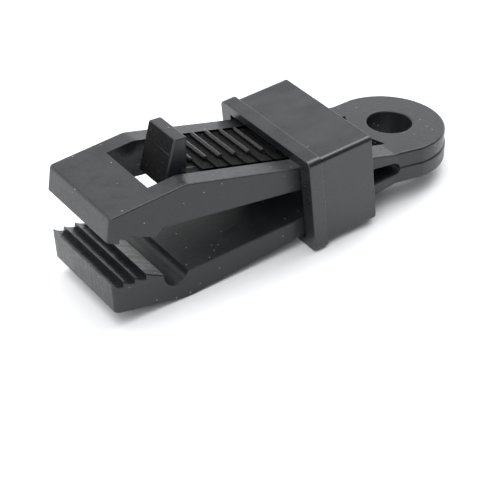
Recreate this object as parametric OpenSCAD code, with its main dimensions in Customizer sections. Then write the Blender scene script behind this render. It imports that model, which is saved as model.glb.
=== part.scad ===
// Tarp clip: two springy toothed jaws on a rope eye, shut by a sliding collar on a ribbed ratchet tongue.
// X runs from the nose (minus) to the eye (plus), Z is up, and the origin is the centre of the eye's hole.
// A reach is a distance from that hole towards the nose.

/* [Eye] */
// Diameter of the rope hole
eye_bore_d = 9.3; // [6:0.1:11]
// Width of the eye's round end
eye_w = 25; // [22:0.1:28]
// How far the middle of the round end lies from the rope hole's middle, towards the jaws
eye_back = 1.05; // [0:0.05:1.5]
// Thickness of the eye
eye_t = 6.8; // [5.6:0.1:8.4]
// How far the lower half of the eye stands out past the upper half at the parting line
parting_step = 0.25; // [0.1:0.05:0.5]
// Wall between the rope hole and the slot that frees the jaws
slot_wall = 1.4; // [1:0.1:2.6]
// Height of that slot at its round end
slot_h = 2.6; // [1.6:0.1:3.4]

/* [Jaws] */
// Width of both jaws
jaw_w = 23.4; // [20:0.2:27]
// Reach of the nose
nose_reach = 72.8; // [68:0.2:80]
// How far the nose's outer edge lies behind its mouth edge
nose_rake = 0.6; // [0.1:0.1:1.2]
// Reach of the ridge, the highest line across each jaw
ridge_reach = 56; // [52:0.5:59]
// Height of the upper ridge above the middle plane
ridge_h = 11.9; // [10.8:0.1:13]
// Depth of the lower ridge below the middle plane
lower_ridge_h = 13.1; // [12:0.1:14]
// Height of the upper nose's outer edge above the middle plane
nose_h = 9.6; // [8.4:0.1:10.4]
// Depth of the lower nose's outer edge below the middle plane
lower_nose_h = 11.2; // [10:0.1:11.8]
// How far the lower arm swells below a straight line under the collar
lower_swell = 0.5; // [0:0.05:0.7]
// Rounding of the upper ridge
ridge_r = 5; // [3:1:20]
// Rounding of the lower ridge
lower_ridge_r = 12; // [4:1:24]
// Rounding of the nose's outer edge
nose_r = 0.7; // [0.2:0.1:1.5]
// Upright gap between the two rows of teeth
mouth_gap = 9.2; // [8.4:0.1:10]
// Height of the upper rails' underside at the back of the teeth
upper_under_h = 4.2; // [3.8:0.1:5.2]
// Depth of the lower arm's top below the middle plane at the groove
lower_top_h = 7; // [6:0.1:7.6]

/* [Teeth] */
// Number of saw teeth ahead of the last long one
tooth_count = 3; // [2:1:4]
// Distance from tooth to tooth
tooth_pitch = 2.45; // [2.1:0.05:2.8]
// Height of a tooth
tooth_h = 0.95; // [0.4:0.05:1.2]
// Length of the lower jaw's last long tooth
land_l = 4.4; // [3.4:0.1:5]
// Length of the upper jaw's lip behind its teeth
lip_l = 2.7; // [1.8:0.1:3.1]
// Radius of the round groove across the lower jaw
groove_r = 2.6; // [1.8:0.1:3]

/* [Window and tongue] */
// Width of the window in the upper jaw
window_w = 15.3; // [13:0.1:17]
// Depth of the nose block from the nose to the window
nose_block = 10.8; // [9.6:0.1:12]
// Bridge of plastic between the jaw's bend and the window's back end
root_bridge = 1.2; // [0.8:0.1:3]
// Gap between the tongue and each side of the window
tongue_gap = 0.85; // [0.3:0.05:1.2]
// Thickness of the tongue's strip
tongue_t = 1.3; // [1:0.1:1.6]
// Distance from rib to rib
rib_pitch = 3.3; // [2.9:0.05:3.8]
// Number of ribs
rib_count = 8; // [4:1:9]
// Height of a rib
rib_h = 1.2; // [0.6:0.1:1.4]
// Flat on top of a rib
rib_flat = 0.8; // [0.4:0.1:1.2]
// Length of the slope behind a rib's flat
rib_slope = 1.4; // [0.8:0.1:1.5]
// How far the ribs stand above the rails
rib_rise = 0.4; // [0:0.05:0.5]
// Distance from the tab's back face to the first rib
rib_start = 1.7; // [1:0.1:3]
// Length of the lower stretch at the near end of each rib
rib_step_l = 3.9; // [2:0.1:5]
// How much lower that stretch lies
rib_step_h = 0.4; // [0.1:0.05:0.5]

/* [Thumb tab] */
// Width of the tab
tab_w = 9.4; // [5:0.1:11]
// Thickness of the tab at its top
tab_t = 2.4; // [1.6:0.1:3.2]
// Gap between the window's front edge and the tab's foot
tab_gap = 5.3; // [4.2:0.1:6]
// Height of the tab above the ridge
tab_rise = 5.4; // [3:0.1:7]
// Depth of the tab's foot below the ridge
tab_drop = 4.4; // [4:0.1:6]
// Lean of the tab's front face
tab_lean = 13.5; // [6:0.5:16]

/* [Collar] */
// Reach of the middle of the collar's front face
collar_reach = 29.8; // [28:0.1:31.4]
// Length of the collar
collar_l = 15.8; // [12:0.1:17]
// Lean of the loose collar's top towards the nose
collar_lean = 7; // [0:0.5:8]
// Gap between the collar and each side of the jaws
side_gap = 0.75; // [0.3:0.05:1.2]
// Gap between the collar's front edge and the ribs above it and the arm below it
click_gap = 0.5; // [0.3:0.05:0.7]
// Side wall of the collar
side_wall = 2.3; // [1.6:0.1:3.2]
// Top and bottom wall of the collar
top_wall = 1.05; // [0.9:0.05:2]
// Thickness of the flange round the collar's front
flange_t = 3.1; // [2:0.1:4.5]
// How far the flange stands proud of the collar
flange_proud = 0.75; // [0.4:0.05:1.2]
// Rounding of the collar's long edges
collar_r = 0.8; // [0.3:0.1:1.5]

/* [Hidden] */
jaw_black = "#2a2b2d";
collar_black = "#313234";
arc_steps = 6;
overcut = 1;
round_fn = 72;

// The jaws bend at the round end of the slot
hinge_reach = eye_bore_d / 2 + slot_wall + slot_h / 2;
arm_slope = (ridge_h - eye_t / 2) / (ridge_reach - hinge_reach);
window_front = nose_reach - nose_block;
window_back = hinge_reach + root_bridge;
teeth_back = nose_reach - tooth_count * tooth_pitch;
tooth_slope = tooth_h / tooth_pitch;
groove_reach = teeth_back - land_l - groove_r;
tongue_w = window_w - 2 * tongue_gap;
swell_reach = collar_reach - collar_l / 2;
tab_top = ridge_h + tab_rise;
tab_foot = ridge_h - tab_drop;
tab_run = (tab_top - tab_foot) * tan(tab_lean);
tab_reach = window_front - tab_gap - tab_run - tab_t;
rib_first = tab_reach - rib_start;

// Outer height of a jaw at a reach behind the ridge
function outer_h(reach) = eye_t / 2 + arm_slope * (reach - hinge_reach);

// Height of the tongue's strip, under its ribs
function strip_h(reach) = outer_h(reach) + rib_rise - rib_h;

// Depth of the lower arm's underside where it swells, and on from there to the ridge
swell_h = eye_t / 2 + lower_swell
    + (lower_ridge_h - eye_t / 2) * (swell_reach - hinge_reach) / (ridge_reach - hinge_reach);
under_slope = (lower_ridge_h - swell_h) / (ridge_reach - swell_reach);
function lower_h(reach) = swell_h + under_slope * (reach - swell_reach);

// Half of the collar's opening: its leaning front edge clears the ribs and the lower arm by the click gap
half_for_ribs = (outer_h(collar_reach) + rib_rise + click_gap)
    / (cos(collar_lean) - arm_slope * sin(collar_lean));
half_for_arm = (lower_h(collar_reach) + click_gap) / (cos(collar_lean) + under_slope * sin(collar_lean));
collar_half = max(half_for_ribs, half_for_arm);

function unit(v) = v / norm(v);
function turned(v, angle) = [v.x * cos(angle) - v.y * sin(angle), v.x * sin(angle) + v.y * cos(angle)];

// Points of an arc that rounds corner b between its neighbours a and c
function rounded(a, b, c, r) =
    let (u = unit(a - b), w = unit(c - b))
    let (half = acos(u * w) / 2)
    let (centre = b + unit(u + w) * r / sin(half))
    let (sweep = (u.x * w.y - u.y * w.x > 0 ? -1 : 1) * (180 - 2 * half))
    let (first = b + u * r / tan(half) - centre)
    [for (i = [0 : arc_steps]) centre + turned(first, sweep * i / arc_steps)];

// A side view, drawn in X and Z, pushed out evenly to both sides
module side_solid(width) {
    rotate([90, 0, 0]) linear_extrude(width, center = true) children();
}

module rounded_rect(width, height, r) {
    square([width - 2 * r, height], center = true);
    square([width, height - 2 * r], center = true);
    for (sx = [-1, 1], sy = [-1, 1])
        translate([sx * (width / 2 - r), sy * (height / 2 - r)]) circle(r, $fn = round_fn);
}

// Outer line of a jaw over its ridge to its nose, side = 1 for the upper jaw and -1 for the lower
function outer_line(side, before, top, r, brow) =
    let (ridge = [-ridge_reach, side * top])
    let (nose = [nose_rake - nose_reach, side * brow])
    let (mouth = [-nose_reach, side * mouth_gap / 2])
    concat(rounded(before, ridge, nose, r), rounded(ridge, nose, mouth, nose_r));

// Saw line of the teeth from the nose back: each flank falls towards the eye and the next tooth steps up
function saw_line(top) = [
    for (i = [0 : tooth_count - 1])
        for (p = [[0, 0], [tooth_pitch, -tooth_h]])
            [i * tooth_pitch - nose_reach + p.x, top + p.y]
];

// Round end of the eye and the flare that joins it to the jaws' bend
module eye_half(inset) {
    radius = eye_w / 2 - inset;
    side = jaw_w / 2 - inset;
    translate([-eye_back, 0, 0]) intersection() {
        cylinder(h = eye_t / 2, r = radius, $fn = round_fn);
        translate([0, -radius, 0]) cube([radius, 2 * radius, eye_t / 2]);
    }
    linear_extrude(eye_t / 2)
        polygon([[-hinge_reach, -side], [-eye_back, -radius], [-eye_back, radius], [-hinge_reach, side]]);
}

module eye_lug() {
    color(jaw_black)
    difference() {
        union() {
            eye_half(parting_step);
            mirror([0, 0, 1]) eye_half(0);
        }
        cylinder(h = eye_t + 2 * overcut, d = eye_bore_d, center = true, $fn = round_fn);
        translate([-hinge_reach, 0, 0]) rotate([90, 0, 0])
            cylinder(h = jaw_w + 2 * overcut, d = slot_h, center = true, $fn = round_fn);
    }
}

module upper_jaw() {
    lip_reach = teeth_back - lip_l;
    lip_h = mouth_gap / 2 - tooth_h - lip_l * tooth_slope;
    under_reach = lip_reach - (upper_under_h - lip_h);
    bend = [-hinge_reach, eye_t / 2];
    top_line = concat([bend], outer_line(1, bend, ridge_h, ridge_r, nose_h));
    under_line = [[-lip_reach, lip_h], [-under_reach, upper_under_h], [-hinge_reach, slot_h / 2]];
    color(jaw_black)
    difference() {
        side_solid(jaw_w) polygon(concat(top_line, saw_line(mouth_gap / 2), under_line));
        translate([-window_front, -window_w / 2, 0])
            cube([window_front - window_back, window_w, ridge_h + overcut]);
    }
}

module lower_jaw() {
    land_h = mouth_gap / 2 + land_l * tooth_slope;
    arm_reach = groove_reach - groove_r;
    bend = [-hinge_reach, -eye_t / 2];
    swell = [-swell_reach, -swell_h];
    under_line = concat([bend, swell], outer_line(-1, swell, lower_ridge_h, lower_ridge_r, lower_nose_h));
    land_line = [[-teeth_back, -mouth_gap / 2], [land_l - teeth_back, -land_h]];
    arm_line = [[-arm_reach, -lower_top_h], [-hinge_reach, -slot_h / 2]];
    color(jaw_black)
    difference() {
        side_solid(jaw_w) polygon(concat(under_line, saw_line(-mouth_gap / 2), land_line, arm_line));
        translate([-groove_reach, 0, -(land_h + lower_top_h) / 2]) rotate([90, 0, 0])
            cylinder(h = jaw_w + 2 * overcut, r = groove_r, center = true, $fn = round_fn);
    }
}

// A rib slopes up from behind and stands square at its front, so that the collar slides over it forwards only
function rib_line(reach) =
    let (end = reach - rib_flat - rib_slope)
    [
        [-end, strip_h(end)],
        [rib_flat - reach, strip_h(reach - rib_flat) + rib_h],
        [-reach, strip_h(reach) + rib_h],
        [-reach, strip_h(reach)],
    ];

// Strip with its ribs, from the jaw's bend to the middle of the tab
module ribbed_strip() {
    front = tab_reach + tab_t / 2;
    top_line = [for (i = [rib_count - 1 : -1 : 0]) each rib_line(rib_first - i * rib_pitch)];
    front_line = [[-front, strip_h(front)], [-front, strip_h(front) - tongue_t]];
    back_line = [[-window_back, strip_h(window_back) - tongue_t], [-window_back, strip_h(window_back)]];
    side_solid(tongue_w) polygon(concat(top_line, front_line, back_line));
}

// Space above the lower stretch at the near end of all the ribs
module rib_step() {
    low = rib_h - rib_step_h;
    translate([0, (rib_step_l - tongue_w - overcut) / 2, 0]) side_solid(rib_step_l + overcut) polygon([
        [-tab_reach, strip_h(tab_reach) + low],
        [-tab_reach, strip_h(tab_reach) + rib_h + overcut],
        [-window_back, strip_h(window_back) + rib_h + overcut],
        [-window_back, strip_h(window_back) + low],
    ]);
}

module thumb_tab() {
    side_solid(tab_w) polygon([
        [-tab_reach, strip_h(tab_reach) - tongue_t / 2],
        [-tab_reach, tab_top],
        [-tab_reach - tab_t, tab_top],
        [-tab_reach - tab_t - tab_run, tab_foot],
        [-tab_reach - tab_t, tab_foot],
    ]);
}

module ratchet_tongue() {
    color(jaw_black) {
        difference() {
            ribbed_strip();
            rib_step();
        }
        thumb_tab();
    }
}

// Sleeve along X with its front face at the origin
module sleeve(length, width, height, r) {
    rotate([90, 0, 90]) linear_extrude(length) rounded_rect(width, height, r);
}

module collar() {
    inner_w = jaw_w + 2 * side_gap;
    outer_w = inner_w + 2 * side_wall;
    outer_h = 2 * (collar_half + top_wall);
    color(collar_black)
    translate([-collar_reach, 0, 0]) rotate([0, -collar_lean, 0])
    difference() {
        union() {
            sleeve(collar_l, outer_w, outer_h, collar_r);
            sleeve(flange_t, outer_w + 2 * flange_proud, outer_h + 2 * flange_proud, collar_r);
        }
        translate([-overcut, -inner_w / 2, -collar_half])
            cube([collar_l + 2 * overcut, inner_w, 2 * collar_half]);
    }
}

eye_lug();
upper_jaw();
lower_jaw();
ratchet_tongue();
collar();
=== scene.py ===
import math

import bmesh
import bpy
from mathutils import Matrix, Vector, noise


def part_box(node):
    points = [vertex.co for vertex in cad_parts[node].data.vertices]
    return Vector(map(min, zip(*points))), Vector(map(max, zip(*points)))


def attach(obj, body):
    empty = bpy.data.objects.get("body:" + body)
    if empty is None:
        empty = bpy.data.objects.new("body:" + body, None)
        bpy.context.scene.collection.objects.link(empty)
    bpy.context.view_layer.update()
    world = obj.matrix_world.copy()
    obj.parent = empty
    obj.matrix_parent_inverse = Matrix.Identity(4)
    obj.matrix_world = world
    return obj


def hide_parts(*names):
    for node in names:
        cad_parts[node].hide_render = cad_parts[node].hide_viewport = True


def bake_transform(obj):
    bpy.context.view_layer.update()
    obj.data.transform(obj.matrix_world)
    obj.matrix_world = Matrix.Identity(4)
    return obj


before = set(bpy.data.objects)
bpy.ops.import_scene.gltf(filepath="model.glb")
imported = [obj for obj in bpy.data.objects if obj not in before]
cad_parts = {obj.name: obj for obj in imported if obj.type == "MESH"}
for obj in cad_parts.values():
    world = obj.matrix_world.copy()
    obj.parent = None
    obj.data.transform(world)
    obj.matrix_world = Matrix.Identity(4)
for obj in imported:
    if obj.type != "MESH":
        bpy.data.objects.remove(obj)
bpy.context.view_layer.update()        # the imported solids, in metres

mm = 0.001               # shapes are drawn in millimetres, meshes are in metres
weld = 1e-7              # metres; points closer than this are one
onLine = 0.01            # millimetres; what lies closer than this to a line is on it
overcut = 1              # millimetres that a cutting tool reaches past the piece


def nodeBox(node):
    low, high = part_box(node)
    return low / mm, high / mm


# sizes that several pieces share; a reach is a distance from the rope hole towards the nose
eyeLow, eyeHigh = nodeBox("eye_lug")
jawLow, jawHigh = nodeBox("upper_jaw")
clip = dict(
    bend=-eyeLow.x,          # reach of the plane where the jaws bend
    bendLength=7,            # from there the plastic bends over this length
    bendLoops=(0.6, 1.4, 2.4, 3.6, 5.0, 6.6),
    eyeHalf=eyeHigh.z,       # half the eye's thickness
    jawHalf=jawHigh.y,       # half the jaws' width
    jawStations=70,          # sections across a jaw, close enough for worn teeth
    slotHalf=jawLow.z,       # half the slot's height at the bend
    nose=-jawLow.x,
    noseRake=0.6,            # the nose's outer edge lies this far behind its mouth edge
    noseRound=0.7, noseSteps=5,
    noseCorner=0.75,         # rounding of the nose's upright edges
    cornerShares=(0.5, 0.75),     # more sections, at these shares of that rounding
    ridge=56.0, ridgeSteps=4,
    toothPitch=2.45, toothDepth=0.95, toothCount=3,
    toothLean=0.12,          # the steep face of a tooth leans back this far
    hollowAt=0.5, hollowDeep=0.68,     # hollow of a flank, as shares of the pitch and the depth
    mouthHalf=4.6,
    sideRound=0.26,          # rounding of the jaws' long edges
)
clip["teethBack"] = clip["nose"] - clip["toothCount"] * clip["toothPitch"]
clip["toothSlope"] = clip["toothDepth"] / clip["toothPitch"]
print("frame loaded, sizes read")


# tools for shapes

def turned(point, angle):
    cosine, sine = math.cos(angle), math.sin(angle)
    return Vector((point.x * cosine - point.y * sine, point.x * sine + point.y * cosine))


def arcCorner(before, corner, after, radius, count):
    # points of an arc that rounds a corner between its two neighbours
    before, corner, after = Vector(before), Vector(corner), Vector(after)
    back = (before - corner).normalized()
    on = (after - corner).normalized()
    half = back.angle(on) / 2
    centre = corner + (back + on).normalized() * radius / math.sin(half)
    first = corner + back * radius / math.tan(half) - centre
    side = -1 if back.cross(on) > 0 else 1
    sweep = side * (math.pi - 2 * half)
    return [centre + turned(first, sweep * i / count) for i in range(count + 1)]


def steps(start, end, count):
    return [start + (end - start) * i / count for i in range(count + 1)]


def solidFromRings(name, rings, closedLoop=False):
    # rings of equal length, joined by quads; the ends are capped unless the rings close on themselves
    bm = bmesh.new()
    made = [[bm.verts.new(Vector(p) * mm) for p in ring] for ring in rings]
    pairs = list(zip(made, made[1:]))
    if closedLoop:
        pairs.append((made[-1], made[0]))
    for a, b in pairs:
        for i in range(len(a)):
            j = (i + 1) % len(a)
            bm.faces.new((a[i], a[j], b[j], b[i]))
    if not closedLoop:
        bm.faces.new(made[0])
        bm.faces.new(made[-1])
    bmesh.ops.remove_doubles(bm, verts=bm.verts, dist=weld)
    bmesh.ops.recalc_face_normals(bm, faces=bm.faces)
    mesh = bpy.data.meshes.new(name)
    bm.to_mesh(mesh)
    bm.free()
    piece = bpy.data.objects.new(name, mesh)
    bpy.context.scene.collection.objects.link(piece)
    return piece


def inset(outline, distance, bluntest=0.35):
    # the outline of a side view moved inwards, its corners mitred, sharp ones only so far
    area = sum(a.cross(b) for a, b in zip(outline, outline[1:] + outline[:1]))
    side = 1 if area > 0 else -1
    moved = []
    for before, point, after in zip(outline[-1:] + outline[:-1], outline, outline[1:] + outline[:1]):
        back, on = (point - before).normalized(), (after - point).normalized()
        left, right = Vector((-back.y, back.x)) * side, Vector((-on.y, on.x)) * side
        middle = (left + right) / max(bluntest, 1 + left.dot(right))
        moved.append(point + middle * distance)
    return moved


def acrossStations(low, high, radius, inner, count=4):
    # places across the width with the inset that rounds the outline's edges there
    angles = [math.pi / 2 * i / count for i in range(count)]
    arc = [(radius * (1 - math.cos(angle)), radius * (1 - math.sin(angle))) for angle in angles]
    return ([(low + y, d) for y, d in arc] + [(y, 0) for y in steps(low + radius, high - radius, inner)]
            + [(high - y, d) for y, d in reversed(arc)])


def rod(name, radius, length, turn, place, sides=64):
    ring = [turned(Vector((radius, 0)), 2 * math.pi * i / sides) for i in range(sides)]
    piece = solidFromRings(name, [[(p.x, p.y, z) for p in ring] for z in (-length / 2, length / 2)])
    piece.data.transform(Matrix.Translation(Vector(place) * mm) @ turn)
    return piece


def combine(piece, tool, operation):
    # cuts the tool out of the piece or joins it on, and drops the tool
    change = piece.modifiers.new("combine", "BOOLEAN")
    change.operation = operation
    change.solver = "EXACT"
    change.object = tool
    bpy.context.view_layer.update()
    made = bpy.data.meshes.new_from_object(piece.evaluated_get(bpy.context.evaluated_depsgraph_get()))
    piece.modifiers.clear()
    old = piece.data
    made.name = old.name
    piece.data = made
    bpy.data.meshes.remove(old)
    bpy.data.objects.remove(tool)


def workOn(piece, job):
    # runs a job on the piece's mesh and puts the result back
    bm = bmesh.new()
    bm.from_mesh(piece.data)
    job(bm)
    bm.to_mesh(piece.data)
    bm.free()
    piece.data.update()


def roundEdges(piece, radius, segments, pick, least=24):
    # rounds the edges that fold by more than the least angle and that pick accepts
    def job(bm):
        bm.normal_update()
        chosen = []
        for edge in bm.edges:
            if len(edge.link_faces) == 2 and abs(edge.calc_face_angle(0)) > math.radians(least):
                a, b = (v.co / mm for v in edge.verts)
                if pick((a + b) / 2, (b - a).normalized()):
                    chosen.append(edge)
        bmesh.ops.bevel(bm, geom=chosen, offset=radius * mm, offset_type="OFFSET", segments=segments,
                        profile=0.5, affect="EDGES", clamp_overlap=True, loop_slide=True)
    workOn(piece, job)


def sliceAcross(piece, start):
    # loops across X from the start of a bend, so that the mesh can bend there
    def job(bm):
        for x in clip["bendLoops"]:
            everything = list(bm.verts) + list(bm.edges) + list(bm.faces)
            bmesh.ops.bisect_plane(bm, geom=everything, dist=weld, plane_co=(-(start + x) * mm, 0, 0),
                                   plane_no=(1, 0, 0))
    workOn(piece, job)


def dress(piece, materials, node, fold=32):
    # smooth rounds beside flat faces, a finish, and the solid that the piece stands for
    piece.data.shade_smooth()
    piece.data.set_sharp_from_angle(angle=math.radians(fold))
    weights = piece.modifiers.new("flat faces stay flat", "WEIGHTED_NORMAL")
    weights.keep_sharp = True
    weights.weight = 80      # broad faces outweigh the narrow ones of a round
    for material in materials:
        piece.data.materials.append(material)
    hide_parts(node)
    print("made", piece.name, len(piece.data.polygons), "faces")


# tools for finishes

def hexToLinear(text):
    # an sRGB colour as linear light
    values = [int(text[i:i + 2], 16) / 255 for i in (1, 3, 5)]
    return [v / 12.92 if v <= 0.04045 else ((v + 0.055) / 1.055) ** 2.4 for v in values] + [1]


def addNode(tree, kind, values=None, links=None, **settings):
    node = tree.nodes.new("ShaderNode" + kind)
    for name, value in settings.items():
        setattr(node, name, value)
    for name, value in (values or {}).items():
        node.inputs[name].default_value = value
    for name, source in (links or {}).items():
        tree.links.new(source, node.inputs[name])
    return node


def perMetre(sizeMm):
    return 1 / (sizeMm * mm)


# what all the nylon finishes share
nylon = dict(
    ior=1.53, metallic=0.0,
    mottleDetail=3.0, mottleRoughness=0.55, dragDetail=2.0, grainDetail=2.0, grainRoughness=0.6,
    dustPeak=1.4,            # above 1, so that a speck has an even middle
    glossSwing=0.3,          # how far the mixed patterns swing to either side of their middle
)


def makeMouldedNylon(name, look):
    material = bpy.data.materials.new(name)
    material.use_nodes = True
    tree = material.node_tree
    shader = tree.nodes["Principled BSDF"]
    place = addNode(tree, "TexCoord").outputs["Object"]

    # broad mottling where the melt cooled unevenly, and long faint drag lines along the draw
    mottle = addNode(tree, "TexNoise", {"Scale": perMetre(look["mottleMm"]), "Detail": nylon["mottleDetail"],
                                        "Roughness": nylon["mottleRoughness"]}, {"Vector": place})
    stretch = addNode(tree, "Mapping", {"Scale": (1 / look["dragLong"], 1, 1)}, {"Vector": place})
    drag = addNode(tree, "TexNoise", {"Scale": perMetre(look["dragMm"]), "Detail": nylon["dragDetail"]},
                   {"Vector": stretch.outputs["Vector"]})
    grain = addNode(tree, "TexNoise", {"Scale": perMetre(look["grainMm"]), "Detail": nylon["grainDetail"],
                                       "Roughness": nylon["grainRoughness"]}, {"Vector": place})

    # dust: small specks inside some of the cells of a loose grid
    cells = addNode(tree, "TexVoronoi", {"Scale": perMetre(look["dustGapMm"]), "Randomness": 1.0},
                    {"Vector": place})
    speck = addNode(tree, "MapRange", {"From Min": look["dustMm"] / look["dustGapMm"] / 2, "From Max": 0.0,
                                       "To Min": 0.0, "To Max": nylon["dustPeak"]},
                    {"Value": cells.outputs["Distance"]})
    draw = addNode(tree, "SeparateColor", links={"Color": cells.outputs["Color"]})
    rare = addNode(tree, "Math", {1: 1 - look["dustShare"]}, {0: draw.outputs["Red"]},
                   operation="GREATER_THAN")
    dust = addNode(tree, "Math", links={0: speck.outputs["Result"], 1: rare.outputs["Value"]},
                   operation="MULTIPLY", use_clamp=True)

    # colour: the black varies a little with the mottling, and dust lies on it
    tone = addNode(tree, "Mix", {6: hexToLinear(look["dark"]), 7: hexToLinear(look["light"])},
                   {0: mottle.outputs["Fac"]}, data_type="RGBA")
    dusty = addNode(tree, "Mix", {7: hexToLinear(look["dust"])},
                    {0: dust.outputs["Value"], 6: tone.outputs[2]}, data_type="RGBA")
    tree.links.new(dusty.outputs[2], shader.inputs["Base Color"])

    # gloss: streaks, mottling and grain shift the roughness
    mixed = addNode(tree, "Math", links={0: mottle.outputs["Fac"], 1: drag.outputs["Fac"]}, operation="ADD")
    grainy = addNode(tree, "Math", {1: look["grainGloss"]},
                     {0: grain.outputs["Fac"], 2: mixed.outputs["Value"]}, operation="MULTIPLY_ADD")
    middle = 1 + look["grainGloss"] / 2
    rough = addNode(tree, "MapRange", {"From Min": middle - nylon["glossSwing"],
                                       "From Max": middle + nylon["glossSwing"],
                                       "To Min": look["smooth"], "To Max": look["rough"]},
                    {"Value": grainy.outputs["Value"]})
    tree.links.new(rough.outputs["Result"], shader.inputs["Roughness"])

    # relief: the tool's fine grain, over soft hollows from shrinkage
    hollows = addNode(tree, "Bump", {"Strength": look["sinkStrength"], "Distance": look["sinkMm"] * mm},
                      {"Height": mottle.outputs["Fac"]})
    relief = addNode(tree, "Bump", {"Strength": look["grainStrength"], "Distance": look["grainDepthMm"] * mm},
                     {"Height": grain.outputs["Fac"], "Normal": hollows.outputs["Normal"]})
    tree.links.new(relief.outputs["Normal"], shader.inputs["Normal"])

    shader.inputs["IOR"].default_value = nylon["ior"]
    shader.inputs["Specular IOR Level"].default_value = look["shine"]
    shader.inputs["Metallic"].default_value = nylon["metallic"]
    return material


# The grain of every finish is about 0.1 mm or finer in truth, and is drawn coarser to show.

# Black nylon, injection moulded in a spark-eroded tool: a satin black that greys towards the light,
# with a fine even grain, soft mottling and a little dust held by the grain.
sparkErodedNylon = makeMouldedNylon("black nylon, spark-eroded mould", dict(
    dark="#191b1f", light="#222428", dust="#a3a19b",
    shine=0.46, smooth=0.28, rough=0.44,
    mottleMm=5.0, dragMm=0.9, dragLong=1.6,
    grainMm=0.45, grainDepthMm=0.06, grainStrength=0.8, grainGloss=1.0,
    sinkMm=0.05, sinkStrength=0.3,
    dustMm=0.36, dustGapMm=2.0, dustShare=0.8,
))

# The same nylon from a finer, polished tool: smoother, so edges and reflections read sharper.
polishedMouldNylon = makeMouldedNylon("black nylon, polished mould", dict(
    dark="#17191c", light="#212327", dust="#a3a19b",
    shine=0.62, smooth=0.24, rough=0.36,
    mottleMm=9.0, dragMm=3.0, dragLong=3.0,
    grainMm=0.35, grainDepthMm=0.02, grainStrength=0.4, grainGloss=0.25,
    sinkMm=0.05, sinkStrength=0.15,
    dustMm=0.3, dustGapMm=3.0, dustShare=0.15,
))

# The same nylon rubbed smooth by the collar, which gives the ribs' crests a sharp sheen; its deeper black is
# painted shade on the strip down in the window.
burnishedAndShadedNylon = makeMouldedNylon("black nylon, burnished, painted shade", dict(
    dark="#0d0e10", light="#131417", dust="#a3a19b",
    shine=0.55, smooth=0.15, rough=0.24,
    mottleMm=4.0, dragMm=0.8, dragLong=4.0,
    grainMm=0.3, grainDepthMm=0.02, grainStrength=0.3, grainGloss=0.3,
    sinkMm=0.04, sinkStrength=0.3,
    dustMm=0.3, dustGapMm=2.4, dustShare=0.2,
))

# The same nylon from a coarsely eroded patch of the tool: dull and granular, as a grip for the thumb.
# Its near-black colour is painted shade: wholly so between the ribs and on their low stretches, partly so on
# the grip.
gripAndPaintedShadeNylon = makeMouldedNylon("black nylon, coarse grip and painted shade", dict(
    dark="#08080a", light="#131314", dust="#403f3b",
    shine=0.12, smooth=0.6, rough=0.85,
    mottleMm=1.0, dragMm=0.7, dragLong=3.0,
    grainMm=0.36, grainDepthMm=0.09, grainStrength=0.9, grainGloss=0.6,
    sinkMm=0.05, sinkStrength=0.3,
    dustMm=0.32, dustGapMm=0.8, dustShare=0.7,
))
print("finishes made")


# camera at the photograph's viewing angle

lens = dict(
    place=(-196.73, -240.10, 170.24), azimuth=-34.13, elevation=32.74, roll=1.00,
    focalPx=1706, framePx=500, sensorMm=36, clipM=(0.01, 10),
)


def makeCamera():
    data = bpy.data.cameras.new("camera")
    data.sensor_width = lens["sensorMm"]
    data.lens = data.sensor_width * lens["focalPx"] / lens["framePx"]
    data.clip_start, data.clip_end = lens["clipM"]
    azimuth, elevation = math.radians(lens["azimuth"]), math.radians(lens["elevation"])
    back = Vector((math.sin(azimuth) * math.cos(elevation), -math.cos(azimuth) * math.cos(elevation),
                   math.sin(elevation)))
    roll = Matrix.Rotation(math.radians(lens["roll"]), 3, "Z")
    turn = (-back).to_track_quat("-Z", "Y").to_matrix() @ roll
    camera = bpy.data.objects.new("camera", data)
    camera.matrix_world = Matrix.Translation(Vector(lens["place"]) * mm) @ turn.to_4x4()
    bpy.context.scene.collection.objects.link(camera)
    bpy.context.scene.camera = camera


makeCamera()
print("camera placed")


# jaws

def outerLine(side, start, ridgeOut, ridgeRound, noseOut, noseReach):
    # outer side of a jaw over its ridge to the nose
    ridge = (-clip["ridge"], side * ridgeOut)
    nose = (clip["noseRake"] - noseReach, side * noseOut)
    mouth = (-noseReach, side * clip["mouthHalf"])
    return arcCorner(start, ridge, nose, ridgeRound, clip["ridgeSteps"]) \
        + arcCorner(ridge, nose, mouth, clip["noseRound"], clip["noseSteps"])


def sawLine(top, noseReach):
    # teeth from the nose back: each hollow flank falls towards the eye and the next tooth steps up
    pitch, depth = clip["toothPitch"], clip["toothDepth"]
    tooth = ((0, 0), (pitch * clip["hollowAt"], depth * clip["hollowDeep"]),
             (pitch - clip["toothLean"], depth))
    return [Vector((i * pitch - noseReach + x, top - z)) for i in range(clip["toothCount"]) for x, z in tooth]


# wear runs along a tooth in long waves with shorter ones on them, and takes plastic off its front too
wearWaves = dict(longShare=0.65, shortShare=0.35, shorter=3, toothToTooth=0.7, backwards=0.5)


def worn(point, y, inwards, wear):
    # a tooth's edge is a little uneven along its length; it only ever loses plastic
    longWave = wear["lengthMm"]
    shortWave = longWave / wearWaves["shorter"]
    loss = 0
    for length, share in ((longWave, wearWaves["longShare"]), (shortWave, wearWaves["shortShare"])):
        at = Vector((point.x * wearWaves["toothToTooth"], y / length, wear["seed"]))
        loss += share * abs(noise.noise(at)) * wear["depthMm"]
    return Vector((point.x + wearWaves["backwards"] * loss, point.y + inwards * loss))


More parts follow.
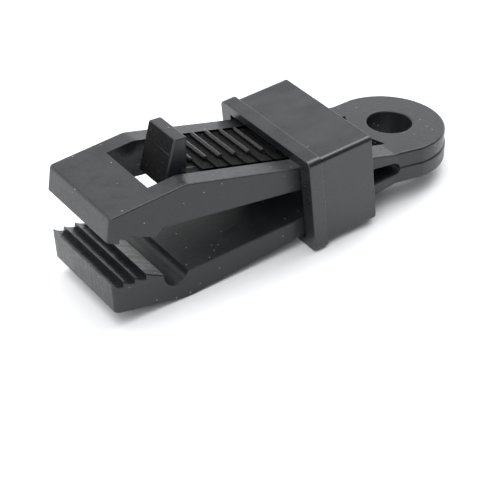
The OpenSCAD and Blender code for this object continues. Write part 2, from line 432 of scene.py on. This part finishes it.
def jawRings(outline, front, ragged, inwards, wear):
    # the jaw's outline at stations across its width; front marks the points that the nose's upright
    # edges round off, and ragged those of the worn teeth
    half, corner = clip["jawHalf"], clip["noseCorner"]
    rings = []
    places = acrossStations(-half, half, clip["sideRound"], clip["jawStations"])
    extra = [(s * (half - corner * v), 0) for s in (-1, 1) for v in clip["cornerShares"]]
    for y, distance in sorted(places + extra):
        line = [worn(p, y, inwards, wear) if i in ragged else p for i, p in enumerate(outline)]
        line = inset(line, distance)
        over = max(0, abs(y) - (half - corner))
        back = max(0, corner - math.sqrt(corner * corner - over * over) - distance)
        for i in (0, -1):
            line[i].x = outline[i].x         # flush with the eye at the bend
        rings.append([(p.x + (back if i in front else 0), y, p.y) for i, p in enumerate(line)])
    return rings


# sunk in behind the tongue, up to the eye's boss, with a curved rear edge
recess = dict(half=6.8, front=9.0, back=6.35, bulge=1.5, bulgeSteps=16, floor=2.1)


def cutRecess(piece):
    half = recess["half"]
    ends = [(-recess["front"], half), (-recess["front"], -half)]
    for y in steps(-half, half, recess["bulgeSteps"]):
        ends.append((-recess["back"] - recess["bulge"] * (1 - (y / half) ** 2), y))
    heights = (recess["floor"], clip["eyeHalf"] + 2 * overcut)
    combine(piece, solidFromRings("recess", [[(x, y, z) for x, y in ends] for z in heights]), "DIFFERENCE")


upperJaw = dict(
    ridgeTop=11.9, ridgeRound=5.0, noseTop=9.6, lipLength=2.7, underTop=4.2,
    windowFront=62.0, windowBack=8.55, windowHalf=7.65,
    windowNarrows=(1.9, 0.9),     # near its back end the window narrows to the recess, from and to here
    rimRound=0.22, rimSteps=2,    # rounding of the window's rim
    rimEnd=0.3,                   # it ends this far short of the window's back
    rimFold=40, rimClimb=0.5,     # least fold of the rim's edges, and the most that they climb
    wear=dict(lengthMm=1.3, depthMm=0.5, seed=2.0),
)
clip["armSlope"] = (upperJaw["ridgeTop"] - clip["eyeHalf"]) / (clip["ridge"] - clip["bend"])


def makeUpperJaw():
    lipReach = clip["teethBack"] - upperJaw["lipLength"]
    lipTop = clip["mouthHalf"] - clip["toothDepth"] - upperJaw["lipLength"] * clip["toothSlope"]
    underReach = lipReach - (upperJaw["underTop"] - lipTop)
    start = Vector((-clip["bend"], clip["eyeHalf"]))
    outer = [start] + outerLine(1, start, upperJaw["ridgeTop"], upperJaw["ridgeRound"], upperJaw["noseTop"],
                                clip["nose"])
    saw = sawLine(clip["mouthHalf"], clip["nose"])
    under = [(-lipReach, lipTop), (-underReach, upperJaw["underTop"]), (-clip["bend"], clip["slotHalf"])]
    outline = outer + saw + [Vector(p) for p in under]
    front = range(len(outer) - clip["noseSteps"] - 1, len(outer) + 1)
    ragged = range(len(outer) + 1, len(outer) + len(saw) + 1)
    piece = solidFromRings("upper_jaw_arm", jawRings(outline, front, ragged, 1, upperJaw["wear"]))

    half = upperJaw["windowHalf"]
    near, far = -upperJaw["windowFront"], -upperJaw["windowBack"]
    wideTo, narrowFrom = upperJaw["windowNarrows"]
    back = [(far - wideTo, half), (far - narrowFrom, recess["half"]), (far, recess["half"])]
    window = [(near, -half)] + [(x, -y) for x, y in back] + back[::-1] + [(near, half)]
    heights = (-overcut, upperJaw["ridgeTop"] + overcut)
    combine(piece, solidFromRings("window", [[(x, y, z) for x, y in window] for z in heights]), "DIFFERENCE")
    cutRecess(piece)

    def onRim(at, way):
        inReach = near - onLine < at.x < far - upperJaw["rimEnd"] and at.z > clip["eyeHalf"]
        onSide, onFront = abs(at.y) > half - onLine, at.x < near + onLine
        return inReach and abs(at.y) < half + onLine and (onSide or onFront) \
            and abs(way.z) < upperJaw["rimClimb"]

    roundEdges(piece, upperJaw["rimRound"], upperJaw["rimSteps"], onRim, upperJaw["rimFold"])
    sliceAcross(piece, clip["bend"])
    dress(piece, [sparkErodedNylon], "upper_jaw")
    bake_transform(piece)


lowerJaw = dict(
    noseBack=0.5,            # its nose stands this far behind the upper one's
    ridgeDeep=13.1, ridgeRound=12.0, noseDeep=11.2, swellReach=21.9, swell=0.5,
    landLength=4.4, armTop=7.0, grooveRadius=2.6, grooveSteps=14,
    wear=dict(lengthMm=1.1, depthMm=0.42, seed=5.0),
)


def makeLowerJaw():
    noseReach = clip["nose"] - lowerJaw["noseBack"]
    landDeep = clip["mouthHalf"] + lowerJaw["landLength"] * clip["toothSlope"]
    radius = lowerJaw["grooveRadius"]
    grooveReach = clip["teethBack"] - lowerJaw["landLength"] - radius
    share = (lowerJaw["swellReach"] - clip["bend"]) / (clip["ridge"] - clip["bend"])
    straight = clip["eyeHalf"] + (lowerJaw["ridgeDeep"] - clip["eyeHalf"]) * share
    swell = Vector((-lowerJaw["swellReach"], -straight - lowerJaw["swell"]))
    outer = [Vector((-clip["bend"], -clip["eyeHalf"])), swell]
    outer += outerLine(-1, swell, lowerJaw["ridgeDeep"], lowerJaw["ridgeRound"], lowerJaw["noseDeep"],
                       noseReach)
    saw = sawLine(-clip["mouthHalf"], noseReach)
    landStart = Vector((lowerJaw["noseBack"] - clip["teethBack"], -clip["mouthHalf"]))
    landEnd = Vector((-grooveReach - radius, -landDeep))
    armStart = Vector((radius - grooveReach, -lowerJaw["armTop"]))
    middle = (landEnd + armStart) / 2
    reach = (landEnd - middle).normalized() * radius
    groove = [middle + turned(reach, angle) for angle in steps(0, math.pi, lowerJaw["grooveSteps"])]
    outline = outer + saw + [landStart] + groove + [Vector((-clip["bend"], -clip["slotHalf"]))]
    front = range(len(outer) - clip["noseSteps"] - 1, len(outer) + 1)
    ragged = range(len(outer), len(outer) + len(saw) + 2)
    piece = solidFromRings("lower_jaw_arm", jawRings(outline, front, ragged, -1, lowerJaw["wear"]))
    sliceAcross(piece, clip["bend"])
    dress(piece, [sparkErodedNylon], "lower_jaw")
    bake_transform(piece)


makeUpperJaw()
makeLowerJaw()


# eye

eye = dict(
    half=12.5, back=1.05, backSteps=64, edgeRound=0.5, edgeSteps=5,
    boreRadius=4.65, boreRound=0.4, boreSteps=4,
    partingStep=0.25, seamDepth=0.16, seamHalf=0.14,
    flare=1.3,               # over this length from the bend they fade in
)


def eyeInset(z, fade):
    # how far the eye's wall stands in at a height: rounded edges, a fine seam and a fuller lower half,
    # which fade into the jaws' own edges at the bend
    r = clip["sideRound"] + (eye["edgeRound"] - clip["sideRound"]) * fade
    total = eye["partingStep"] * fade if z > 0 else 0
    over = abs(z) - (clip["eyeHalf"] - r)
    if over > 0:
        total += r - math.sqrt(max(0, r * r - over * over))
    if abs(z) < eye["seamHalf"]:
        total += eye["seamDepth"] * (1 - abs(z) / eye["seamHalf"]) * fade
    return total


def makeEye():
    half, r = clip["eyeHalf"], eye["edgeRound"]
    arc = [math.sin(angle) * r for angle in steps(0, math.pi / 2, eye["edgeSteps"])]
    levels = [-half + r - v for v in reversed(arc)] + [-eye["seamHalf"], 0, eye["seamHalf"]] \
        + [half - r + v for v in arc]
    widening = (eye["half"] - clip["jawHalf"]) / (clip["bend"] - eye["back"])
    rings = []
    for z in levels:
        side = []
        for x in (-clip["bend"], eye["flare"] - clip["bend"], -eye["back"]):
            fade = min(1, (x + clip["bend"]) / eye["flare"])
            wide = clip["jawHalf"] + widening * (x + clip["bend"])
            side.append((x, eyeInset(z, fade) - wide, z))
        radius = eye["half"] - eyeInset(z, 1)
        ring = list(side)
        for angle in steps(-math.pi / 2, math.pi / 2, eye["backSteps"])[1:-1]:
            ring.append((radius * math.cos(angle) - eye["back"], radius * math.sin(angle), z))
        rings.append(ring + [(x, -y, z) for x, y, z in reversed(side)])
    piece = solidFromRings("rope_eye", rings)
    bore = rod("bore", eye["boreRadius"], 2 * (half + overcut), Matrix.Identity(4), (0, 0, 0))
    combine(piece, bore, "DIFFERENCE")
    slot = rod("slot", clip["slotHalf"], 2 * (eye["half"] + overcut), Matrix.Rotation(math.pi / 2, 4, "X"),
               (-clip["bend"], 0, 0))
    combine(piece, slot, "DIFFERENCE")
    cutRecess(piece)
    roundEdges(piece, eye["boreRound"], eye["boreSteps"],
               lambda at, way: at.xy.length < eye["boreRadius"] + onLine and abs(at.z) > half - onLine)
    dress(piece, [sparkErodedNylon], "eye_lug")
    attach(piece, "eye")


makeEye()


# tongue: a ribbed strip with a thumb tab, hanging free in the window

tongue = dict(
    half=6.8, farHalf=7.6, thick=1.3, root=8.55, rootDip=0.9,
    drop=0.55,               # the strip lies this far below the rails
    stations=30, edgeRound=0.2, edgeSteps=8, fold=14,
    ribPitch=3.3, ribCount=8, ribStart=1.4, ribTop=1.02, ribFlat=0.85, ribSlope=0.7,
    ribRound=0.55, roundSteps=8, ribEdge=0.7, edgeArc=4,
    ribWorn=6, wornShare=0.45,    # the collar's edge rests on this rib and has rubbed it down
    lowLength=3.9, lowDrop=0.42, lowBack=0.6, lowFlat=0.2, lowRound=0.07,    # the near stretch of each rib
    lowWear=0.3,             # that stretch wears less
    stepFoot=0.22, stepHead=0.12, stepClear=0.25,    # where it steps up, on each side of its end
    farLift=0.5, farFrom=6.8,     # the valleys sweep up to the far rail
    valleyShadeShare=0.42,        # up to this share of a rib's height, the valleys are drawn near-black as painted shade
    tabHalf=4.7, tabThick=2.7, tabTop=17.3, tabFoot=7.5, tabLean=13.5, tabFront=56.7,
    tabRound=0.4, tabSteps=8,
    gripEdge=-4.1, gripFacing=0.9,     # near edge of the grip, and the cosine within which a face is its front
    lineAt=13.9, lineHigh=0.3, lineEnd=3.8, lineRoot=0.5,
    lineDeep=0.2, lineFoot=0.3,        # how far the line stands out, and the share of that at its foot
    wear=dict(depthMm=0.09, lengthMm=1.1, seed=0.5),
)
tongue["tabRun"] = (tongue["tabTop"] - tongue["tabFoot"]) * math.tan(math.radians(tongue["tabLean"]))
tongue["tabBack"] = tongue["tabFront"] - tongue["tabRun"] - tongue["tabThick"]


def stripTop(reach):
    return clip["eyeHalf"] + clip["armSlope"] * (reach - clip["bend"]) - tongue["drop"]


def tongueLine(y):
    # side view of the strip and its ribs at one station across the width;
    # near the close rail each rib is lower, with a narrow crest
    drop, rake, wearShare = 0, 0, 1
    flat, frontRound, backRound = (tongue[k] for k in ("ribFlat", "ribRound", "ribEdge"))
    if y < tongue["lowLength"] - tongue["half"]:
        drop, rake, wearShare = (tongue[k] for k in ("lowDrop", "lowBack", "lowWear"))
        flat, frontRound, backRound = (tongue[k] for k in ("lowFlat", "lowRound", "lowRound"))
    sweep = max(0, (y - tongue["farFrom"]) / (tongue["farHalf"] - tongue["farFrom"]))
    lift = tongue["farLift"] * sweep ** 2
    wear = tongue["wear"]
    line = []
    for i in reversed(range(tongue["ribCount"])):
        reach = tongue["tabBack"] - tongue["ribStart"] - i * tongue["ribPitch"]
        end = reach - tongue["ribFlat"] - tongue["ribSlope"]
        start = reach - rake
        loss = abs(noise.noise(Vector((reach, y / wear["lengthMm"], wear["seed"])))) * wear["depthMm"]
        top = tongue["ribTop"] - drop - loss * wearShare
        if i == tongue["ribWorn"]:
            top *= tongue["wornShare"]
        foot, crest = (-end, stripTop(end) + lift), (flat - start, stripTop(start - flat) + top)
        edge, root = (-start, stripTop(start) + top), (-start, stripTop(start) + lift)
        line += [Vector(foot)] + arcCorner(foot, crest, edge, backRound, tongue["edgeArc"])
        line += arcCorner(crest, edge, root, frontRound, tongue["roundSteps"]) + [Vector(root)]
    front = tongue["tabBack"] + tongue["tabThick"] / 2
    frontTop, rootTop = stripTop(front), stripTop(tongue["root"])
    ends = ((-front, frontTop), (-front, frontTop - tongue["thick"]),
            (-tongue["root"], rootTop - tongue["thick"]), (-tongue["root"], rootTop - tongue["rootDip"]))
    return line + [Vector(p) for p in ends]


def makeTab():
    back, front = -tongue["tabBack"], -tongue["tabBack"] - tongue["tabThick"]
    top, foot, r, count = (tongue[k] for k in ("tabTop", "tabFoot", "tabRound", "tabSteps"))
    tip = (-tongue["tabFront"], foot)
    inside = stripTop(tongue["tabBack"]) - tongue["thick"] / 2
    outline = [Vector((back, inside))] + arcCorner((back, inside), (back, top), (front, top), r, count) \
        + arcCorner((back, top), (front, top), tip, r, count) + [Vector(tip), Vector((front, foot))]
    rings = [[(p.x, y, p.y) for p in inset(outline, d)]
             for y, d in acrossStations(-tongue["tabHalf"], tongue["tabHalf"], r, count, count)]
    tab = solidFromRings("thumb_tab", rings)
    # a fine witness line across the grip, where an insert in the mould ended
    lean = math.tan(math.radians(tongue["tabLean"]))
    low, high = tongue["lineAt"], tongue["lineAt"] + tongue["lineHigh"]
    lowX, highX = (front - (top - z) * lean for z in (low, high))
    line = [(lowX - tongue["lineDeep"] * tongue["lineFoot"], low), (highX - tongue["lineDeep"], high),
            (highX + tongue["lineRoot"], high), (lowX + tongue["lineRoot"], low)]
    across = (tongue["gripEdge"], tongue["lineEnd"])
    combine(tab, solidFromRings("line", [[(x, y, z) for x, z in line] for y in across]), "UNION")
    return tab


def makeTongue():
    stepAt = tongue["lowLength"] - tongue["half"]
    places = acrossStations(-tongue["half"], tongue["farHalf"], tongue["edgeRound"], tongue["stations"],
                            tongue["edgeSteps"])
    places = [(y, d) for y, d in places if abs(y - stepAt) > tongue["stepClear"]]
    places += [(stepAt - tongue["stepFoot"], 0), (stepAt + tongue["stepHead"], 0)]
    rings = [[(p.x, y, p.y) for p in inset(tongueLine(y), d)] for y, d in sorted(places)]
    piece = solidFromRings("ratchet_strip", rings)
    combine(piece, makeTab(), "UNION")
    sliceAcross(piece, tongue["root"])
    finishes = [burnishedAndShadedNylon, sparkErodedNylon, gripAndPaintedShadeNylon]
    dress(piece, finishes, "ratchet_tongue", tongue["fold"])
    lean = math.radians(tongue["tabLean"])
    tabFacing = Vector((-math.cos(lean), 0, math.sin(lean)))
    valleyShadeTop = tongue["ribTop"] * tongue["valleyShadeShare"]
    for face in piece.data.polygons:
        at = face.center / mm
        onFront = at.x < -tongue["tabBack"] - tongue["tabThick"] \
            and face.normal.dot(tabFacing) > tongue["gripFacing"]
        if onFront and at.y > tongue["gripEdge"]:
            finish = gripAndPaintedShadeNylon       # the tab's front face is the grip, its near-black partly painted shade
        elif at.x < onLine - tongue["tabBack"]:
            finish = sparkErodedNylon        # the rest of the tab, which the collar never rubs
        elif at.y < stepAt or at.z < stripTop(-at.x) + valleyShadeTop:
            finish = gripAndPaintedShadeNylon       # painted shade: the valleys and the low stretches, drawn near-black
        else:
            # rubbed smooth, and darker as painted shade
            finish = burnishedAndShadedNylon
        face.material_index = finishes.index(finish)
    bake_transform(piece)


makeTongue()


# collar: a loose sleeve with a flange round its front

collar = dict(
    reach=30.1, lean=7.0, length=15.3,
    innerHalfW=12.05, innerHalfH=8.47, innerCorner=0.3,
    innerLow=0.16,           # the opening sits this far below the middle
    sideWall=2.7, topWall=1.21,
    flangeLength=3.1, flangeProud=0.75,
    cornerRound=1.05, cornerSteps=7,
    cornerGrowth=0.3,        # the flange's corners are rounder by this share of its rise
    edgeRound=0.25, edgeSteps=3,
)


def rectRing(x, halfW, halfH, corner, low=0):
    # a rounded rectangle across the sleeve
    ring = []
    for k, (sy, sz) in enumerate(((1, 1), (-1, 1), (-1, -1), (1, -1))):
        for angle in steps(math.pi / 2 * k, math.pi / 2 * (k + 1), collar["cornerSteps"]):
            ring.append((x, sy * (halfW - corner) + corner * math.cos(angle),
                         sz * (halfH - corner) + corner * math.sin(angle) - low))
    return ring


def makeCollar():
    r, count, length = collar["edgeRound"], collar["edgeSteps"], collar["length"]
    flange, proud = collar["flangeLength"], collar["flangeProud"]
    # the wall's section along the sleeve, as (place, how far out), from the flange's front edge round
    outside = arcCorner((0, 0), (0, proud), (flange, proud), r, count) \
        + arcCorner((0, proud), (flange, proud), (flange, 0), r, count) \
        + arcCorner((flange, proud), (flange, 0), (length, 0), r / 2, count) \
        + arcCorner((flange, 0), (length, 0), (length, -proud), r, count)
    inside = arcCorner((length, proud), (length, 0), (0, 0), r, count) \
        + arcCorner((length, 0), (0, 0), (0, proud), r, count)
    inW, inH = collar["innerHalfW"], collar["innerHalfH"]
    outW, outH = inW + collar["sideWall"], inH + collar["topWall"]
    rings = []
    for p in outside:
        corner = collar["cornerRound"] + max(0, p.y) * collar["cornerGrowth"]
        rings.append(rectRing(p.x, outW + p.y, outH + p.y, corner))
    for p in inside:
        rings.append(rectRing(p.x, inW + p.y, inH + p.y, collar["innerCorner"] + p.y, collar["innerLow"]))
    piece = solidFromRings("sliding_collar", rings, closedLoop=True)
    place = Matrix.Translation(Vector((-collar["reach"], 0, 0)) * mm)
    piece.data.transform(place @ Matrix.Rotation(math.radians(-collar["lean"]), 4, "Y"))
    dress(piece, [polishedMouldNylon], "collar")
    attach(piece, "collar")


makeCollar()


# floor: under the lower jaw's ridge and the bottom of the collar's flange

floorLook = dict(
    half=1500,
    clear=0.05,              # room for the ridge's rounding
    colour="#e5e6e8", roughness=0.6, shine=0.2,
    fibreMm=0.4, fibreDetail=2.0, fibreDepthMm=0.02, fibreStrength=0.05,
)


def makeFloor():
    lean = math.radians(collar["lean"])
    flangeHalf = collar["innerHalfH"] + collar["topWall"] + collar["flangeProud"]
    heel = Vector((flangeHalf * math.sin(lean) - collar["reach"], -flangeHalf * math.cos(lean)))
    toe = Vector((-clip["ridge"], nodeBox("lower_jaw")[0].z))
    tilt = math.atan2(heel.y - toe.y, heel.x - toe.x)
    bm = bmesh.new()
    bmesh.ops.create_grid(bm, x_segments=2, y_segments=2, size=floorLook["half"] * mm)
    mesh = bpy.data.meshes.new("paper sweep")
    bm.to_mesh(mesh)
    bm.free()
    floor = bpy.data.objects.new("floor", mesh)
    place = Vector((toe.x, 0, toe.y - floorLook["clear"]))
    floor.matrix_world = Matrix.Translation(place * mm) @ Matrix.Rotation(-tilt, 4, "Y")
    bpy.context.scene.collection.objects.link(floor)
    # white paper, uncoated: matte and even, only the contact shadow shows
    paper = bpy.data.materials.new("white paper, uncoated")
    paper.use_nodes = True
    tree = paper.node_tree
    shader = tree.nodes["Principled BSDF"]
    fibre = addNode(tree, "TexNoise", {"Scale": perMetre(floorLook["fibreMm"]),
                                       "Detail": floorLook["fibreDetail"]})
    relief = addNode(tree, "Bump", {"Strength": floorLook["fibreStrength"],
                                    "Distance": floorLook["fibreDepthMm"] * mm},
                     {"Height": fibre.outputs["Fac"]})
    tree.links.new(relief.outputs["Normal"], shader.inputs["Normal"])
    shader.inputs["Base Color"].default_value = hexToLinear(floorLook["colour"])
    shader.inputs["Roughness"].default_value = floorLook["roughness"]
    shader.inputs["Specular IOR Level"].default_value = floorLook["shine"]
    floor.data.materials.append(paper)


makeFloor()


# light: a softbox overhead and a white backdrop low behind the clip, with a window, a lamp and a dark screen

studio = dict(
    white="#ffffff",
    room=0.62,               # what the walls between them give back
    backdrop=1.15, backdropEnds=(0.32, 0.5),     # heights as the sine of the elevation
    backdropWay=(0.55, 0.83, 0.0), backdropSides=(-0.5, 0.3),
    softbox=2.5, softboxStarts=(0.6, 0.95),
    # patches: which way, how wide as cosines from the middle, and the level there
    fill=dict(way=(-0.7, -0.5, 0.5), spread=(0.5, 0.95), level=0.95),        # a window in front, to the left
    lamp=dict(way=(0.6, 0.1, 0.79), spread=(0.9, 0.985), level=3.5),         # a lamp high on the right
    screen=dict(way=(0.6, -0.76, 0.25), spread=(0.35, 0.85), level=-0.92),   # in front, to the right
)


def makeLight():
    world = bpy.data.worlds.new("white studio")
    world.use_nodes = True
    tree = world.node_tree
    way = addNode(tree, "TexCoord").outputs["Generated"]
    height = addNode(tree, "SeparateXYZ", links={"Vector": way}).outputs["Z"]
    low, high = studio["backdropEnds"]
    sweep = addNode(tree, "MapRange", {"From Min": low, "From Max": high,
                                       "To Min": studio["backdrop"], "To Max": 0.0},
                    {"Value": height}, interpolation_type="SMOOTHSTEP")
    facing = addNode(tree, "VectorMath", {1: studio["backdropWay"]}, {0: way}, operation="DOT_PRODUCT")
    low, high = studio["backdropSides"]
    behind = addNode(tree, "MapRange", {"From Min": low, "From Max": high, "To Min": 0.0, "To Max": 1.0},
                     {"Value": facing.outputs["Value"]}, interpolation_type="SMOOTHSTEP")
    paper = addNode(tree, "Math", links={0: sweep.outputs["Result"], 1: behind.outputs["Result"]},
                    operation="MULTIPLY")
    low, high = studio["softboxStarts"]
    roof = addNode(tree, "MapRange", {"From Min": low, "From Max": high, "To Min": studio["room"],
                                      "To Max": studio["room"] + studio["softbox"]},
                   {"Value": height}, interpolation_type="SMOOTHSTEP")
    level = addNode(tree, "Math", links={0: paper.outputs["Value"], 1: roof.outputs["Result"]}, operation="ADD")
    for name, operation, base in (("fill", "ADD", 0), ("lamp", "ADD", 0), ("screen", "MULTIPLY", 1)):
        patch = studio[name]
        facing = addNode(tree, "VectorMath", {1: Vector(patch["way"]).normalized()}, {0: way},
                         operation="DOT_PRODUCT")
        low, high = patch["spread"]
        share = addNode(tree, "MapRange", {"From Min": low, "From Max": high, "To Min": base,
                                           "To Max": base + patch["level"]},
                        {"Value": facing.outputs["Value"]}, interpolation_type="SMOOTHSTEP")
        level = addNode(tree, "Math", links={0: level.outputs["Value"], 1: share.outputs["Result"]},
                        operation=operation)
    back = tree.nodes["Background"]
    tree.links.new(level.outputs["Value"], back.inputs["Strength"])
    back.inputs["Color"].default_value = hexToLinear(studio["white"])
    scene = bpy.context.scene
    scene.world = world
    scene.view_settings.view_transform = "Standard"


makeLight()
print("floor and light made")
